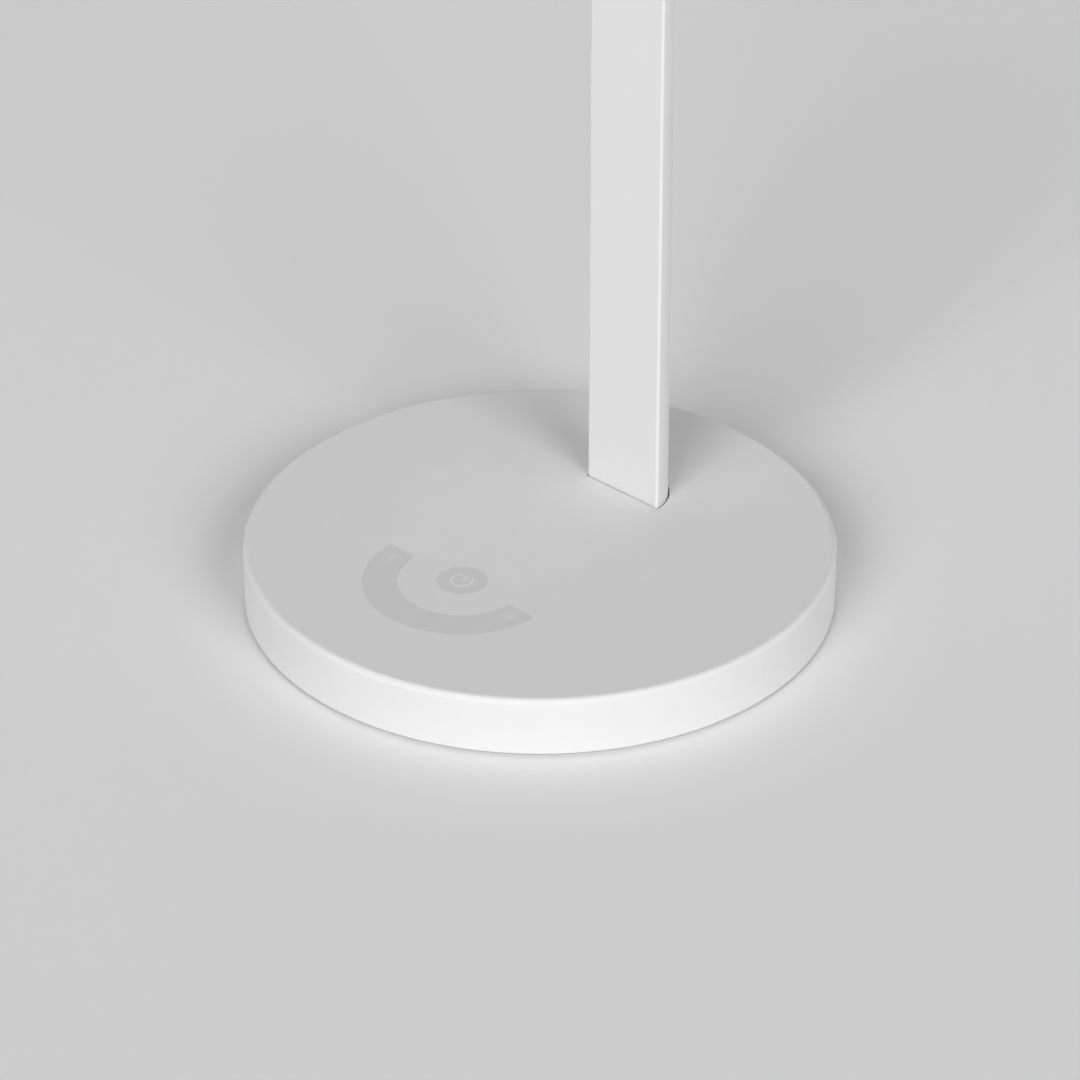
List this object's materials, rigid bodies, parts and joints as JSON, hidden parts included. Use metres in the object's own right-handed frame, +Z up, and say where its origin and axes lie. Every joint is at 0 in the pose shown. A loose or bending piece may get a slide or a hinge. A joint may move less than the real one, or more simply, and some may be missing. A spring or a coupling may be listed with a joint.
{
  "type": "folding led desk lamp",
  "caption": "Desk lamp with a round touch-control base, a half-round stem and a half-round light arm that folds down flat onto the stem.",
  "frame": {"origin": "centre of the round base on the table top", "axes": "+Z up, -Y towards the user and along the level arm, +X to the right as seen from the front"},
  "size_m": [0.18, 0.4183, 0.4145],
  "materials": {
    "cover_white": "satin moulded white",
    "bar_white": "white powder coat on an extrusion",
    "fitting_white": "white powder coat on a casting",
    "inlay_grey": "light grey, satin",
    "plate_black": "fine textured black",
    "mat_rubber": "soft matt black",
    "ballast_steel": "zinc plated plate",
    "screw_steel": "zinc plated",
    "foot_metal": "plain casting",
    "board_green": "solder mask on laminate",
    "led_board_white": "white solder mask on a metal core",
    "chip_black": "moulded",
    "foam_black": "conductive foam",
    "connector_white": "moulded nylon",
    "inlet_black": "moulded",
    "contact_brass": "plated",
    "cable_black": "vinyl jacket",
    "capacitor_can": "plain can",
    "hinge_steel": "ground and greased",
    "bush_black": "acetal",
    "led_phosphor": "phosphor window",
    "reflector_white": "white film",
    "diffuser_opal": "opal acrylic",
    "bumper_rubber": "soft clear grey"
  },
  "bodies": {
    "stand": {"base_cover": "cover_white", "power_pad": "inlay_grey", "dimmer_arc": "inlay_grey", "base_plate": "plate_black", "grip_mat": "mat_rubber", "plate_screws": "screw_steel", "ballast": "ballast_steel", "ballast_screws": "screw_steel", "stem_foot": "foot_metal", "stem_screws": "screw_steel", "stem_set_screws": "screw_steel", "touch_board": "board_green", "touch_electrodes": "foam_black", "touch_chip": "chip_black", "touch_connector": "connector_white", "touch_cable": "cable_black", "driver_board": "board_green", "board_screws": "screw_steel", "dc_jack": "inlet_black", "dc_pin": "contact_brass", "power_inductor": "chip_black", "capacitor": "capacitor_can", "driver_chips": "chip_black", "board_connectors": "connector_white", "stem_cable": "cable_black", "stem_tube": "bar_white", "stem_top": "fitting_white", "stem_top_screw": "screw_steel", "stem_screw_cover": "fitting_white", "hinge_bush": "bush_black", "friction_washers": "hinge_steel"},
    "arm": {"hinge_pin": "hinge_steel", "disc_springs": "hinge_steel", "hinge_nut": "hinge_steel", "hinge_caps": "fitting_white", "stop_dowel": "hinge_steel", "arm_fork": "fitting_white", "fork_screw": "screw_steel", "fork_screw_cover": "fitting_white", "arm_shell": "bar_white", "led_board": "led_board_white", "led_chips": "led_phosphor", "reflector": "reflector_white", "diffuser": "diffuser_opal", "arm_tip": "fitting_white", "bumper": "bumper_rubber", "arm_cable": "cable_black"}
  },
  "joints": [
    {"name": "arm_fold", "type": "hinge", "parent": "stand", "child": "arm", "pos_m": [0, 0.0363, 0.4], "axis": [1, 0, 0], "range_deg": [-45, 90]}
  ]
}
